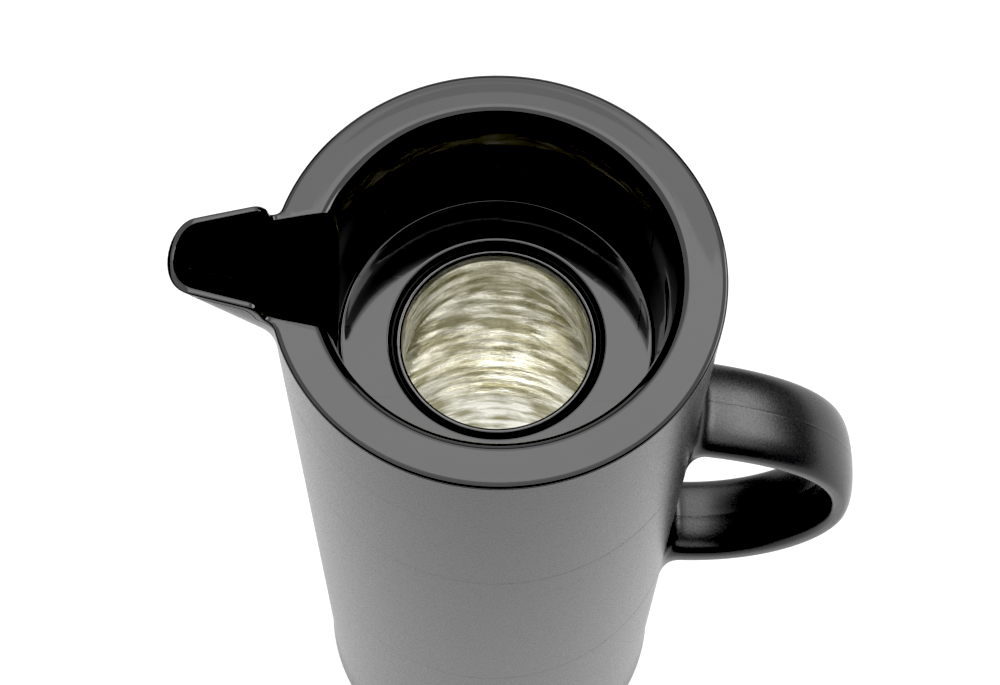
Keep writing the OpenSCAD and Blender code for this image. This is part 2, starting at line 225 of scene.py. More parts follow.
class Beak:
    """Straight lines join a disc in the lip's plane to a half ellipse across the spout.

    t runs from the disc (0) to the ellipse (1) and, in the trough, on through the rim (2).
    a runs round the ellipse from its side (0) to its lowest point (pi / 2)."""

    def __init__(self, disc_x, disc_r, half_w, depth, gate=(0, 0, 0)):
        self.disc_x, self.disc_r = disc_x, disc_r
        self.half_w, self.depth, self.gate = half_w, depth, gate
        self.table_a = np.linspace(1e-4, math.pi / 2 - 1e-4, 200)
        self.table_b = self.disc_angle(self.table_a)

    def disc_angle(self, a):
        """Where on the disc the line from ellipse angle a lands, so that the form is developable."""
        def off(b):
            disc = np.stack([self.disc_x - self.disc_r * np.sin(b), self.disc_r * np.cos(b), 0 * b], -1)
            section = np.stack([SECTION_X + 0 * a, self.half_w * np.cos(a), -self.depth * np.sin(a)], -1)
            on_disc = np.stack([-np.cos(b), -np.sin(b), 0 * b], -1)
            on_section = np.stack([0 * a, -self.half_w * np.sin(a), -self.depth * np.cos(a)], -1)
            return np.einsum("...i,...i", np.cross(on_disc, on_section), section - disc)
        last = np.full_like(a, math.pi / 2)
        sign = np.where(off(last - 1e-4) >= 0, 1.0, -1.0)
        return bisect(lambda b: sign * off(b), np.zeros_like(a), last)

    def at(self, t, a):
        t, a = np.broadcast_arrays(np.asarray(t, float), np.asarray(a, float))
        b = np.interp(a, self.table_a, self.table_b)
        s = np.clip(t, -0.2, 1)
        g = np.clip(t - 1, 0, 3)
        half_w = self.half_w + self.gate[1] * g
        depth = self.depth + self.gate[2] * g
        x = (1 - s) * (self.disc_x - self.disc_r * np.sin(b)) + s * SECTION_X + self.gate[0] * g
        y = (1 - s) * self.disc_r * np.cos(b) + s * half_w * np.cos(a)
        return np.stack([x, np.where(a > math.pi / 2 - 1e-6, 0, y), SPRING_Z - s * depth * np.sin(a)], -1)

    def slopes(self, t, a):
        """How the point moves with t and with a."""
        h = 1e-4
        along_t = (self.at(t + h, a) - self.at(t - h, a)) / (2 * h)
        return along_t, (self.at(t, a + h) - self.at(t, a - h)) / (2 * h)

    def solve(self, t, a, wanted):
        """Parameters of the points where both columns of wanted(points) are nought."""
        h = 1e-4
        for _ in range(14):
            f = wanted(self.at(t, a))
            ft = (wanted(self.at(t + h, a)) - f) / h
            fa = (wanted(self.at(t, a + h)) - f) / h
            det = ft[:, 0] * fa[:, 1] - ft[:, 1] * fa[:, 0]
            det = np.where(np.abs(det) < 1e-9, 1e-9, det)
            dt = (f[:, 0] * fa[:, 1] - f[:, 1] * fa[:, 0]) / det
            da = (ft[:, 0] * f[:, 1] - ft[:, 1] * f[:, 0]) / det
            t = t - np.clip(dt, -0.2, 0.2)
            a = np.clip(a - np.clip(da, -0.2, 0.2), 0, math.pi / 2)
        return t, a

    def sideways(self, t, a, path, inward):
        """Unit steps on the form, square to a path on it, towards inward, an array of (t, a) steps."""
        u, v = self.slopes(np.where(t < 1, 0.5, t), np.clip(a, 0.01, math.pi / 2 - 0.01))
        side = unit(np.cross(np.cross(u, v), np.gradient(path, axis=0)))
        aim = u * inward[:, :1] + v * inward[:, 1:]
        return side * np.where(np.einsum("ij,ij->i", side, aim) < 0, -1, 1)[:, None]

    def fill(self, first, top, last):
        """Grid between a first row, a top column and a last row, each given as (t, a) arrays."""
        (t0, a0), (tt, at), (t1, a1) = first, top, last
        share0 = (a0 - a0[0]) / (a0[-1] - a0[0])
        share1 = (a1 - a1[0]) / (a1[-1] - a1[0])
        start, end = np.interp(at, a0, t0), np.interp(at, a1, t1)
        tau = np.clip((tt - start) / (end - start), 0, 1)
        tau = np.maximum.accumulate(tau)
        tau[0], tau[-1] = 0, 1
        rows = []
        for i, w in enumerate(tau):
            a = at[i] + (math.pi / 2 - at[i]) * (share0 * (1 - w) + share1 * w)
            t = np.interp(a, a0, t0) * (1 - w) + np.interp(a, a1, t1) * w
            rows.append(self.at(t, a))
        return np.array(rows)


def pull_back(grid, path, step, reach):
    """The grid with its edge moved from path by step; the move fades out over reach."""
    away = np.linalg.norm(grid[:, :, None] - path, axis=-1)
    near = away.argmin(-1)
    fade = np.clip(1 - away.min(-1) / reach, 0, 1)[..., None]
    moved = grid + step[near] * fade
    moved[..., 1] = np.where(np.abs(grid[..., 1]) < 1e-9, 0, moved[..., 1])
    return moved


TROUGH = Beak(disc_x=-68.0, disc_r=8.6, half_w=13.4, depth=30.0, gate=(13.0, 2.3, 13.2))
BEAK = Beak(disc_x=-68.5, disc_r=10.3, half_w=15.1, depth=32.55)

LIP_END = -54.5                      # where the lip drops to the rim
LIP_FALL_X = -71.6                   # from here the lip's top falls towards the tip
LIP_FALL = 1.9                       # by this much
LIP_BAND = 1.6                       # visible height of the glossy lip
LIP_LEGS = np.array((0.6, 0.7))      # how far the lip's outer corner is softened, down and across
LIP_RHO = 0.42                       # fillet between the lip's top and the trough
CUT_RHO = 0.4                        # fillet between the rim or the well's wall and the trough
NOTCH_FILLET = 2.0                   # small fillet in plan where the lip meets the rim's circle
NOTCH_STEPS = 6
BEAK_FILLET = 5.0                    # fillet between the beak and the body
SIDE_STEPS = 20                      # points down each side of the spout


def lip_line():
    """Side view of the lip from its tip to the rim, as x and top height."""
    fall = [(x, SPRING_Z - LIP_FALL * ((LIP_FALL_X - x) / (LIP_FALL_X - TIP_X)) ** 1.5)
            for x in np.linspace(TIP_X, LIP_FALL_X, 8)]
    corner = [(LIP_END - 3 + 3 * math.sin(f), SPRING_Z - 3 + 3 * math.cos(f))
              for f in np.radians((0, 14, 28, 42, 55, 66))]
    drop = [(-54.45, 272.6), (-54.15, 271.5), (-53.88, 270.4),
            (-53.6, 269.5), (-53.2, 268.95), (-52.6, 268.74)]
    return np.array([*fall, *corner, *drop, (-51.0, CROWN_Z - 0.05), (-45.0, CROWN_Z)])


LIP_LINE = lip_line()


def lip_top(x):
    return np.interp(x, LIP_LINE[:, 0], LIP_LINE[:, 1])


# ---- collar: profile of revolution as a function of its length ------------------------------------
CUT_R = 50.8                         # the spout's cut edge runs on inside this radius
RIM_LEGS = np.array((0.72, 1.7))     # how far the rim's outer corner is softened, down and across
GROOVE = 0.3                         # joint line between collar and shell


def soft_edge(side, corner, inner, legs, steps=5):
    """Rows of points from the side over a soft corner to the inner edge."""
    a = towards(corner, side, legs[..., :1])
    b = towards(corner, inner, legs[..., 1:])
    return [side, a, *bend(a, corner, b, steps), b, (b + inner) / 2, inner]


def groove(side, corner, inner):
    """Rows of points that draw the lower edge in from the side, for the dark joint under the collar."""
    return [side + unit((inner - side) * (1, 1, 0)) * GROOVE, towards(side, corner, GROOVE)]


def well_profile():
    """The rim's top, the well's wall and floor, down to the neck hole, as (radius, height)."""
    crown = [(r, CROWN_Z - 0.0105 * (r - 48.2) ** 2) for r in np.linspace(CUT_R, 46.0, 9)]
    inner = [(45.4 - 3.2 * math.sin(f), CROWN_Z - 3.23 + 3.2 * math.cos(f))
             for f in np.radians(np.linspace(8, 75, 12))]
    wall = round_line([inner[-1], (42.1, 264.9), (41.0, 260.0), (41.0, 248.0), (40.63, 244.8)], 2.0, 3)[1:]
    wall += [(39.35 + (z - 232.5) * 0.104, z) for z in np.linspace(244.5, 237.3, 25)]
    foot = [(38.5 + 0.8 * math.cos(f), FLOOR_Z + 0.8 + 0.8 * math.sin(f))
            for f in np.radians(np.linspace(-6, -90, 8))]
    floor = [(r, FLOOR_Z) for r in np.linspace(37.8, 28.0, 9)]
    hole = [(27.7 - 0.9 * math.sin(f), FLOOR_Z - 0.9 + 0.9 * math.cos(f))
            for f in np.radians(np.linspace(6, 90, 8))]
    hole.append((26.8, FLOOR_Z - 2.6))
    return np.array([tuple(p) for p in (*crown, *inner, *wall, *foot, *floor, *hole)])


WELL = well_profile()
WELL_Q = np.concatenate([[0], np.cumsum(np.linalg.norm(np.diff(WELL, axis=0), axis=1))])
CORNER_ROW = 20                      # the profile's row where the trough's top corner lies


def well_at(q):
    """Radius and height at that length along the profile, from the radius CUT_R inwards."""
    return np.interp(q, WELL_Q, WELL[:, 0]), np.interp(q, WELL_Q, WELL[:, 1])


def well_q(z):
    """Length along the profile at a height on the well's wall."""
    fall = WELL[:, 1] < CROWN_Z - 0.2
    return np.interp(-z, -WELL[fall][:, 1], WELL_Q[fall])


def offset_curve(angle, length, radius, distance):
    """A curve in the plane of angle and length of a surface of revolution, moved to its left."""
    ds = np.gradient(angle) * radius
    dq = np.gradient(length)
    n = unit(np.stack([-dq, ds], -1))
    return angle + n[:, 0] * distance / radius, length + n[:, 1] * distance


def rows_between(starts, ends):
    """Grid of half turns: each row is a (radius, height) that meets its given end point."""
    u = np.linspace(0, 1, COLUMNS + 1)
    u = np.concatenate([[0, RIDGE_W / (SHELL_R * math.pi)], u[1:]])
    w = u ** 10
    rows = []
    for (r, z), end in zip(starts, ends):
        angle = math.atan2(end[1], end[0])
        radius = r + (math.hypot(end[0], end[1]) - r) * w
        rows.append(polar(radius - lug(angle * u, z), angle * u, z + (end[2] - z) * w))
    return rows


LUG_Z = RIM_Z - 27.0                 # middle of the stopper's lugs
LUG_HALF = 3.0
LUG_PROUD = (1.6, 1.2)               # towards the handle and towards the spout
LUG_ENDS = (39.0, 141.0)             # angles, in degrees, where the lugs have tapered away


def lug(angle, z):
    """How far a lug stands out of the well's wall."""
    degrees = np.degrees(angle)
    front = degrees < 89.7
    taper = np.where(front, degrees - LUG_ENDS[0], LUG_ENDS[1] - degrees) / 11.0
    size = np.sqrt(np.clip(taper, 0, 1))
    across = np.abs(z - LUG_Z) / LUG_HALF
    return np.where(front, *LUG_PROUD) * size * smoothstep((size - across) / 0.45)


def cut_crease():
    """Where the trough cuts the rim's top: lengths q along the profile, angles and (t, a)."""
    q = WELL_Q[:CORNER_ROW + 1]
    r, z = well_at(q)

    def share(angle):
        return (r * np.cos(angle) - SECTION_X) / TROUGH.gate[0]

    def rise(angle):
        return np.clip((SPRING_Z - z) / (TROUGH.depth + TROUGH.gate[2] * share(angle)), -1, 1)

    def outside(angle):
        half_w = TROUGH.half_w + TROUGH.gate[1] * share(angle)
        return half_w * np.sqrt(1 - rise(angle) ** 2) - r * np.sin(angle)
    angle = bisect(outside, np.full_like(q, math.radians(140)), np.full_like(q, math.pi))
    return q, angle, 1 + share(angle), np.arcsin(rise(angle))


def mouth_crease(a):
    """Where the trough's lines of angle a come through the well's wall."""
    def past(t):
        p = TROUGH.at(t, a)
        return well_at(well_q(p[:, 2]))[0] - np.hypot(p[:, 0], p[:, 1])
    t = bisect(past, np.full_like(a, 1.0), np.full_like(a, 1.95))
    p = TROUGH.at(t, a)
    return well_q(p[:, 2]), np.arctan2(p[:, 1], p[:, 0]), t


def lip_start(form, a, lower):
    """How far along the lines of angle a the lip's top, or a line below it, is met near the tip."""
    def past(t):
        p = form.at(t, a)
        return lip_top(p[:, 0]) - lower - p[:, 2]
    return bisect(past, np.zeros_like(a), np.full_like(a, 0.5))


def side_angle(form, t):
    """The form's angle at which its line t lies at the lip's top."""
    def past(a):
        p = form.at(t, a)
        return lip_top(p[:, 0]) - p[:, 2]
    return bisect(past, np.full_like(t, 1e-4), np.full_like(t, 1.2))


def outer_angle(b):
    return np.interp(b, BEAK.table_b, BEAK.table_a)


def spout_stations():
    """The trough's crease from the tip to the rim as (t, a) arrays, with the count up to the side."""
    a0 = np.linspace(math.pi / 2, 1e-4, SIDE_STEPS + 1)
    t0 = lip_start(TROUGH, a0, 0)
    side_x = TROUGH.at(np.zeros(1), np.full(1, 1e-4))[0, 0]
    drop = LIP_LINE[(LIP_LINE[:, 0] > LIP_END - 2.9) & (LIP_LINE[:, 0] < -52), 0]
    xs = np.concatenate([np.linspace(side_x, LIP_END - 3, 10)[1:], drop, [-52.0, -51.2, -50.5, -49.9]])
    t1 = (xs - side_x) / (SECTION_X - side_x)
    return t0, a0, t1, side_angle(TROUGH, t1)


def notch():
    """Where the beak meets the rim's circle at the seam: point, its angle a, and end of the fillet."""
    t, a = BEAK.solve(np.array([0.9]), np.array([0.2]), lambda p: np.stack(
        [np.hypot(p[:, 0], p[:, 1]) - SHELL_R, p[:, 2] - SEAM_Z], -1))
    v = BEAK.at(t, a)[0]
    angle = math.atan2(v[1], v[0]) - NOTCH_FILLET / SHELL_R
    return v, a[0], polar(SHELL_R, np.array(angle), SEAM_Z)


def trough_skin(t, a, path, rho, wall_n):
    """The trough inside its crease, which from point wall_n on lies on the well's wall: (grid, edge)."""
    inward = np.zeros((len(t), 2))
    inward[:SIDE_STEPS + 1, 0] = 1
    inward[SIDE_STEPS + 1:wall_n + 1, 1] = 1
    inward[wall_n:, 0] = -1
    step = TROUGH.sideways(t, a, path, inward) * rho[:, None]
    step[0, 1] = step[-1, 1] = 0
    first = slice(SIDE_STEPS, None, -1)
    top = slice(SIDE_STEPS, wall_n + 1)
    grid = TROUGH.fill((t[first], a[first]), (t[top], a[top]), (t[wall_n:], a[wall_n:]))
    grid = pull_back(grid, path, step, 4.0)
    return grid, np.concatenate([grid[0][::-1], grid[1:, 0], grid[-1][1:]])


def cut_edge(length, crease_angle, rho):
    """The edge of the rim's and the well's surface beside the trough: (points, lengths)."""
    edge_angle, edge_q = offset_curve(crease_angle, length, well_at(length)[0], rho)
    edge_angle[-1] = math.pi
    edge_r, edge_z = well_at(edge_q)
    edge = polar(edge_r, edge_angle, edge_z)
    edge[-1, 1] = 0
    return edge, edge_q


def lip_outer(path, a0, v):
    """The lip's outer corner from the tip to the notch at v, on the beak, as (t, a)."""
    tip_a = outer_angle(np.interp(a0, TROUGH.table_a, TROUGH.table_b))
    tip_t = lip_start(BEAK, tip_a, 0)
    x_in = path[SIDE_STEPS + 1:-NOTCH_STEPS - 1, 0]
    drift = np.interp(x_in, [path[SIDE_STEPS, 0], LIP_END - 3, LIP_END, x_in[-1]],
                      [-0.85, -0.5, -0.46, v[0] - NOTCH_FILLET - x_in[-1]])
    goal_x, goal_z = x_in + drift, lip_top(x_in)
    start = np.clip((goal_x - BEAK.disc_x) / (SECTION_X - BEAK.disc_x), 0.02, 1)
    t, a = BEAK.solve(start, np.full_like(goal_x, 0.05),
                      lambda p: np.stack([p[:, 0] - goal_x, p[:, 2] - goal_z], -1))
    return np.concatenate([tip_t, t]), np.concatenate([tip_a, a])


def lip_seam(outer, t, a):
    """The line below the lip's outer corner where the shell's beak begins, as (t, a)."""
    along = unit(np.gradient(outer, axis=0) * (1, 1, 0))
    along[0] = (0, 1, 0)
    late = smoothstep((outer[:, 0] - (LIP_END - 5.2)) / 4.0)
    back = LIP_BAND * late * (1 - smoothstep((outer[:, 0] - LIP_END) / 1.5))
    least_z = np.interp(outer[:, 0], [LIP_END, outer[-1, 0]], [RIM_Z - 1.4, SEAM_Z])
    seam_z = np.maximum(outer[:, 2] - LIP_BAND, least_z)
    seam_t, seam_a = BEAK.solve(t + 0.02, a + 0.05, lambda p: np.stack(
        [np.einsum("ij,ij->i", p - outer, along) + back, p[:, 2] - seam_z], -1))
    seam_t[0], seam_a[0] = lip_start(BEAK, np.full(1, math.pi / 2), LIP_BAND)[0], math.pi / 2
    return seam_t, seam_a


def lip_band(path, a0, rho, cut):
    """The lip's band from its seam over its outer corner inwards: (grid, inner edge, seam t, seam a)."""
    v, _, last = notch()
    t, a = lip_outer(path, a0, v)
    outer = BEAK.at(t, a)
    seam_t, seam_a = lip_seam(outer, t, a)
    seam = BEAK.at(seam_t, seam_a)
    seam = np.array([*seam, *bend(seam[-1], v, last, NOTCH_STEPS), last])
    rise = np.array((0, 0, CROWN_Z - 0.1 - SEAM_Z))
    outer = np.array([*outer, *bend(outer[-1], v + rise, last + rise, NOTCH_STEPS), last + rise])
    seam[0, 1] = outer[0, 1] = 0
    inner = towards(path, outer, rho[:, None])
    inner[0, 1] = 0
    inner[-1] = cut
    share = smoothstep((np.arange(len(path)) - (len(path) - 6)) / 5)[:, None]
    legs = LIP_LEGS * (1 - share) + RIM_LEGS * share
    band = np.array(groove(seam, outer, inner) + soft_edge(seam, outer, inner, legs)[1:])
    return band, inner, seam_t, seam_a


def rim_ring(band, edge, edge_q):
    """The rim, the well's wall and floor, from the handle's side round to the lip's band and the trough."""
    side = np.array((SHELL_R, 0, SEAM_Z))
    corner = np.array((SHELL_R, 0, CROWN_Z - 0.1))
    cut = np.array((CUT_R, 0, WELL[0, 1]))
    rows = groove(side, corner, cut) + soft_edge(side, corner, cut, RIM_LEGS)[1:-1]
    low = list(zip(*well_at(WELL_Q[WELL_Q > edge_q[-1] + 0.4])))
    starts = [(p[0], p[2]) for p in rows] + list(zip(*well_at(edge_q))) + low
    ends = [*band[:-1, -1], *edge, *((-r, 1e-15, z) for r, z in low)]
    return np.array(rows_between(starts, ends))


def collar_parts():
    """Grids of the collar's +Y half, and the seam that the shell's beak shares: (grids, seam t, seam a)."""
    t0, a0, t1, a1 = spout_stations()
    q, angle, t2, a2 = cut_crease()
    a3 = np.linspace(a2[-1], math.pi / 2, SIDE_STEPS + 1)[1:]
    q3, angle3, t3 = mouth_crease(a3)
    t = np.concatenate([t0, t1, t2, t3])
    a = np.concatenate([a0, a1, a2, a3])
    path = TROUGH.at(t, a)
    lip_n = len(t0) + len(t1)
    rho = np.where(np.arange(len(t)) < lip_n - 4, LIP_RHO, CUT_RHO)
    rho = np.convolve(np.pad(rho, 2, mode="edge"), np.ones(5) / 5, mode="valid")
    trough, trough_edge = trough_skin(t, a, path, rho, lip_n + len(t2) - 1)
    edge, edge_q = cut_edge(np.concatenate([q, q3]), np.concatenate([angle, angle3]), rho[lip_n:])
    band, inner, seam_t, seam_a = lip_band(path[:lip_n + 1], a0, rho[:lip_n + 1], edge[0])
    ring = rim_ring(band, edge, edge_q)
    well_edge = np.concatenate([inner[:-1], edge])
    fillet = np.array([well_edge, *bend(well_edge, path, trough_edge, 4), trough_edge])
    return [band, trough, ring, fillet], seam_t, seam_a


MOULD_Y = 16.5                       # the mould lines lie this far from the plane of symmetry
MOULD_LINE = [(0.0, 0.08), (0.15, -0.03), (-0.15, -0.03), (0.0, 0.08)]  # section: across and up


def mould_line(sign, top_z):
    """Fine raised line where two moulds met, over the well's floor and up its wall, as a closed grid."""
    reach = (WELL[:, 1] < top_z) & (WELL[:, 0] > 28.0)
    line = WELL[reach][::-1]
    x = sign * np.sqrt(line[:, 0] ** 2 - MOULD_Y ** 2)
    middle = np.stack([x, np.full_like(x, MOULD_Y), line[:, 1]], -1)
    along = unit(np.gradient(middle, axis=0))
    across = np.array((0.0, 1.0, 0.0))
    rise = unit(np.cross(along, across)) * -sign
    size = np.ones(len(x))
    size[[0, -1]] = 0
    return np.stack([middle + size[:, None] * (a * across + b * rise) for a, b in MOULD_LINE], 1)


# ---- shell: body, beak and strap handle as one moulding -------------------------------------------
STRAP_PATH = np.array([(50, 189.7), (80, 182.8), (99.9, 166.8), (99.9, 139.3),
                       (99.9, 118.5), (81, 91.8), (50, 98)])  # two cubic curves, as x and z
STRAP_W = (13.4, 12.2)               # half width at the upper and lower root
STRAP_T = (4.4, 3.7, 6.2)            # half thickness at the upper root, the outer bend, the lower root
STRAP_POWERS = (2 / 2.3, 0.5)        # roundness of the outer and inner face
ROOT_FILLET = 6.0
STRAP_LENGTH = 205.0
FLARE = 0.8                          # how far the shell's foot flares
FLARE_H = 18.0                       # height over which it does


def strap_point(u):
    """Middle of the strap and its direction, in the plane of X and Z; u runs from 0 to 1."""
    half = np.where(u < 0.5, 0, 3)[..., None]
    t = np.where(u < 0.5, 2 * u, 2 * u - 1)[..., None]
    p = [np.take_along_axis(STRAP_PATH, np.broadcast_to(half + k, u.shape + (1,)).reshape(-1, 1), 0)
         .reshape(u.shape + (2,)) for k in range(4)]
    point = (1 - t) ** 3 * p[0] + 3 * (1 - t) ** 2 * t * p[1] + 3 * (1 - t) * t * t * p[2] + t ** 3 * p[3]
    along = (1 - t) ** 2 * (p[1] - p[0]) + 2 * (1 - t) * t * (p[2] - p[1]) + t * t * (p[3] - p[2])
    return point, unit(along)


def strap_at(u, a):
    """Point of the strap's skin; a runs from the inner face (-pi / 2) over the side to the outer face."""
    u, a = np.broadcast_arrays(np.asarray(u, float), np.asarray(a, float))
    point, along = strap_point(u)
    w = STRAP_W[0] + (STRAP_W[1] - STRAP_W[0]) * u
    t = np.interp(u, (0, 0.5, 1), STRAP_T)
    power = np.where(a >= 0, *STRAP_POWERS)
    y = w * np.abs(np.cos(a)) ** power
    b = t * np.sign(a) * np.abs(np.sin(a)) ** power
    end = np.abs(a) > math.pi / 2 - 1e-6
    b = b + np.where(end, RIDGE * np.sign(a), 0)
    return np.stack([point[..., 0] - along[..., 1] * b, np.where(end, 0, y),
                     point[..., 1] + along[..., 0] * b], -1)


def strap_sides():
    """Angles round half the strap, closest where its corners turn and beside the parting line."""
    up = np.linspace(0, 1, 15)
    outer = np.concatenate([up * 0.98, [0.9945, 1.0]]) * math.pi / 2
    inner = np.concatenate([np.linspace(0, 1, 15)[1:-1], [0.975, 0.9995, 1.0]]) * math.pi / 2
    return np.concatenate([-inner[::-1], outer])


def strap_parts():
    """The handle's skin, its two fillets, and the outline of each root on the body, as half pieces."""
    a = strap_sides()

    def outside(u):
        p = strap_at(u, a)
        return np.hypot(p[:, 0], p[:, 1]) - SHELL_R
    u0 = bisect(outside, np.full_like(a, 0.0), np.full_like(a, 0.2))
    u1 = bisect(lambda u: -outside(u), np.full_like(a, 0.8), np.full_like(a, 1.0))
    b0, b1 = u0 + ROOT_FILLET / STRAP_LENGTH, u1 - ROOT_FILLET / STRAP_LENGTH
    skin = np.array([strap_at(b0 + (b1 - b0) * s, a) for s in np.linspace(0, 1, 81)])
    fillets, outlines = [], []
    for u, edge, side in ((u0, skin[0], -1), (u1, skin[-1], 1)):
        crease = strap_at(u, a)
        angle, z = offset_curve(np.arctan2(crease[:, 1], crease[:, 0]), crease[:, 2], SHELL_R,
                                side * ROOT_FILLET)
        angle[0] = angle[-1] = 0
        z = np.maximum.accumulate(z[::-side])[::-side] - 0.004 * side * np.arange(len(z))
        foot = polar(SHELL_R, angle, z)
        fillets.append(np.array([foot, *bend(foot, crease, edge, 8), edge]))
        outlines.append(foot[::-side])
    return skin, fillets, outlines


def shell_crossing(a):
    """How far along the beak's lines of angle a the shell's cylinder is met."""
    def past(t):
        p = BEAK.at(t, a)
        return SHELL_R - np.hypot(p[:, 0], p[:, 1])
    return bisect(past, np.full_like(a, 0.4), np.full_like(a, 1.0))


def beak_parts(seam_t, seam_a):
    """The beak's skin below the lip's seam, its fillet, and its outline on the body."""
    v, v_a, last = notch()
    top_t, top_a = seam_t[SIDE_STEPS:], seam_a[SIDE_STEPS:]
    share = np.linspace(0, 1, SIDE_STEPS + 1)
    a1 = v_a + (math.pi / 2 - v_a) * share
    crease = BEAK.at(shell_crossing(a1), a1)
    crease[0], crease[-1, 1] = v, 0
    edge_a = top_a[-1] + (math.pi / 2 - top_a[-1]) * share
    edge_t = shell_crossing(edge_a)
    pace = np.linalg.norm(BEAK.slopes(edge_t, np.minimum(edge_a, 1.55))[0], axis=-1)
    first_rho = (edge_t[0] - top_t[-1]) * pace[0]
    edge_t = edge_t - (first_rho + (BEAK_FILLET - first_rho) * smoothstep(1.2 * share)) / pace
    first = slice(SIDE_STEPS, None, -1)
    skin = BEAK.fill((seam_t[first], seam_a[first]), (top_t, top_a), (edge_t, edge_a))
    skin[:, 0] = BEAK.at(top_t, top_a)
    skin[0] = BEAK.at(seam_t[first], seam_a[first])
    skin[-1] = BEAK.at(edge_t, edge_a)
    rho = NOTCH_FILLET + (BEAK_FILLET - NOTCH_FILLET) * smoothstep(1.2 * share)
    angle, z = offset_curve(np.arctan2(crease[:, 1], crease[:, 0]), crease[:, 2], SHELL_R, -rho)
    angle[-1] = math.pi
    foot = polar(SHELL_R, angle, z)
    foot[0], foot[-1, 1] = last, 0
    fillet = np.array([foot, *bend(foot, crease, skin[-1], NOTCH_STEPS), skin[-1]])
    return skin, fillet, foot


def shell_parts(seam_t, seam_a):
    """Grids of the shell's +Y half."""
    strap, root_fillets, roots = strap_parts()
    beak, beak_fillet, mouth = beak_parts(seam_t, seam_a)
    flare = [(SHELL_R + FLARE * (1 - t) ** 2, SHELL_EDGE_Z + FLARE_H * t) for t in np.linspace(0, 1, 12)]
    edge = [(BORE_R, 24), (BORE_R, SHELL_EDGE_Z), flare[0]]
    foot = round_line(edge + flare[2:], [0.5, 0.7] + [0.3] * 9, 3)
    rows = [(p, None, None) for p in foot]
    upper, lower = roots[0], roots[1]
    for z in np.linspace(22, lower[0][2] - 3, 6):
        rows.append(((SHELL_R, z), None, None))
    rows += [((SHELL_R, p[2]), p, None) for p in lower]
    for z in np.linspace(lower[-1][2] + 3, upper[0][2] - 3, 9):
        rows.append(((SHELL_R, z), None, None))
    rows += [((SHELL_R, p[2]), p, None) for p in upper]
    low_mouth = mouth[::-1]
    for z in np.linspace(upper[-1][2] + 2, low_mouth[0][2] - 2, 6):
        rows.append(((SHELL_R, z), None, None))
    rows += [((SHELL_R, p[2]), None, p) for p in low_mouth]
    beside = RIDGE_W / (SHELL_R * math.pi)
    u = np.concatenate([[0, beside], np.linspace(0, 1, COLUMNS + 1)[1:-1], [1 - beside, 1]])
    grid = []
    for (r, z), start, end in rows:
        a0 = math.atan2(start[1], start[0]) if start is not None else 0.0
        a1 = math.atan2(end[1], end[0]) if end is not None else math.pi
        line = polar(np.full_like(u, r), a0 + (a1 - a0) * u, z)
        ridge = RIDGE if r >= SHELL_R and z > 4 else 0
        if start is None:
            line[0] = (r + ridge, 0, z)
        if end is None:
            line[-1] = (-r - ridge, 0, z)
        grid.append(line)
    return [np.array(grid), strap, *root_fillets, beak, beak_fillet]


# ---- flask ------------------------------------------------------------------------------------------
NECK_R = 25.6                        # outside of the rolled lip
LIP_Z = GLASS_HIGH[2]
LIP_ROUND = 0.85                     # radius of the rolled lip
GLASS_BASE_Z = GLASS_LOW[2]
FLASK_IN_R = GLASS_HIGH[0]           # outside of the inner glass
GLASS = 1.5
DISH = 20.0                          # height of the dished bottom
SHOULDER_Z = 193.0                   # where the shoulder starts to close in


def flask_wall(r, neck, base_z, rise, top_z):
    """Dished bottom, straight side, round shoulder and neck, as (radius, height)."""
    bottom = [(r * math.sin(a), base_z + DISH * (1 - math.cos(a)))
              for a in np.linspace(0, math.pi / 2, 40)]
    shoulder = [(neck + 2 + (r - neck - 2) * math.cos(a), SHOULDER_Z + rise * math.sin(a))
                for a in np.radians(np.linspace(0, 80, 24))]
    return np.array([*bottom, *shoulder, (neck, SHOULDER_Z + rise + 1.5), (neck, top_z)])


def resample(line, spacing):
    """The line with points at the spacing that is given for its start and its end."""
    q = np.concatenate([[0], np.cumsum(np.linalg.norm(np.diff(line, axis=0), axis=1))])
    steps = int(q[-1] / ((spacing[0] + spacing[1]) / 2))
    u = np.linspace(0, 1, steps)
    at = q[-1] * (spacing[0] * u + (spacing[1] - spacing[0]) * u * u / 2) / ((spacing[0] + spacing[1]) / 2)
    return np.stack([np.interp(at, q, line[:, k]) for k in (0, 1)], -1)


def flask_grid():
    """The blown inner glass: rippled inner face, rolled lip and outer face, as a closed form."""
    inner = flask_wall(FLASK_IN_R - GLASS, NECK_R - 2 * LIP_ROUND, GLASS_BASE_Z + GLASS, 15.5, LIP_Z - 1.4)
    inner = resample(inner, (2.0, 0.7))
    lip = [(NECK_R - LIP_ROUND * (1 + math.cos(f)), LIP_Z - LIP_ROUND + LIP_ROUND * math.sin(f))
           for f in np.radians(np.linspace(0, 180, 14))]
    outer = flask_wall(FLASK_IN_R, NECK_R - 1.0, GLASS_BASE_Z, 17.0, LIP_Z - LIP_ROUND)[::-1]
    angles = np.linspace(0, 2 * math.pi, 161)
    n = unit(np.gradient(inner, axis=0))
    z = inner[:, 1:]
    wave = 0.05 * np.sin(z * 1.15 + 0.6 * np.sin(angles * 2))
    wave += 0.03 * np.sin(z * 2.3 + 1.1 * np.sin(angles * 3 + 1))
    wave += 0.10 * np.sin(z * 0.22 + np.sin(angles * 2 + 2))
    wave += 0.05 * np.sin(angles * 7 + z * 0.1)
    wave *= smoothstep(inner[:, :1] / 12) * smoothstep((LIP_Z - z) / 6)
    rows = polar(inner[:, :1] - n[:, 1:] * wave, angles, z + n[:, :1] * wave)
    return [np.concatenate([rows, revolve(lip, 160), revolve(outer, 160)])]


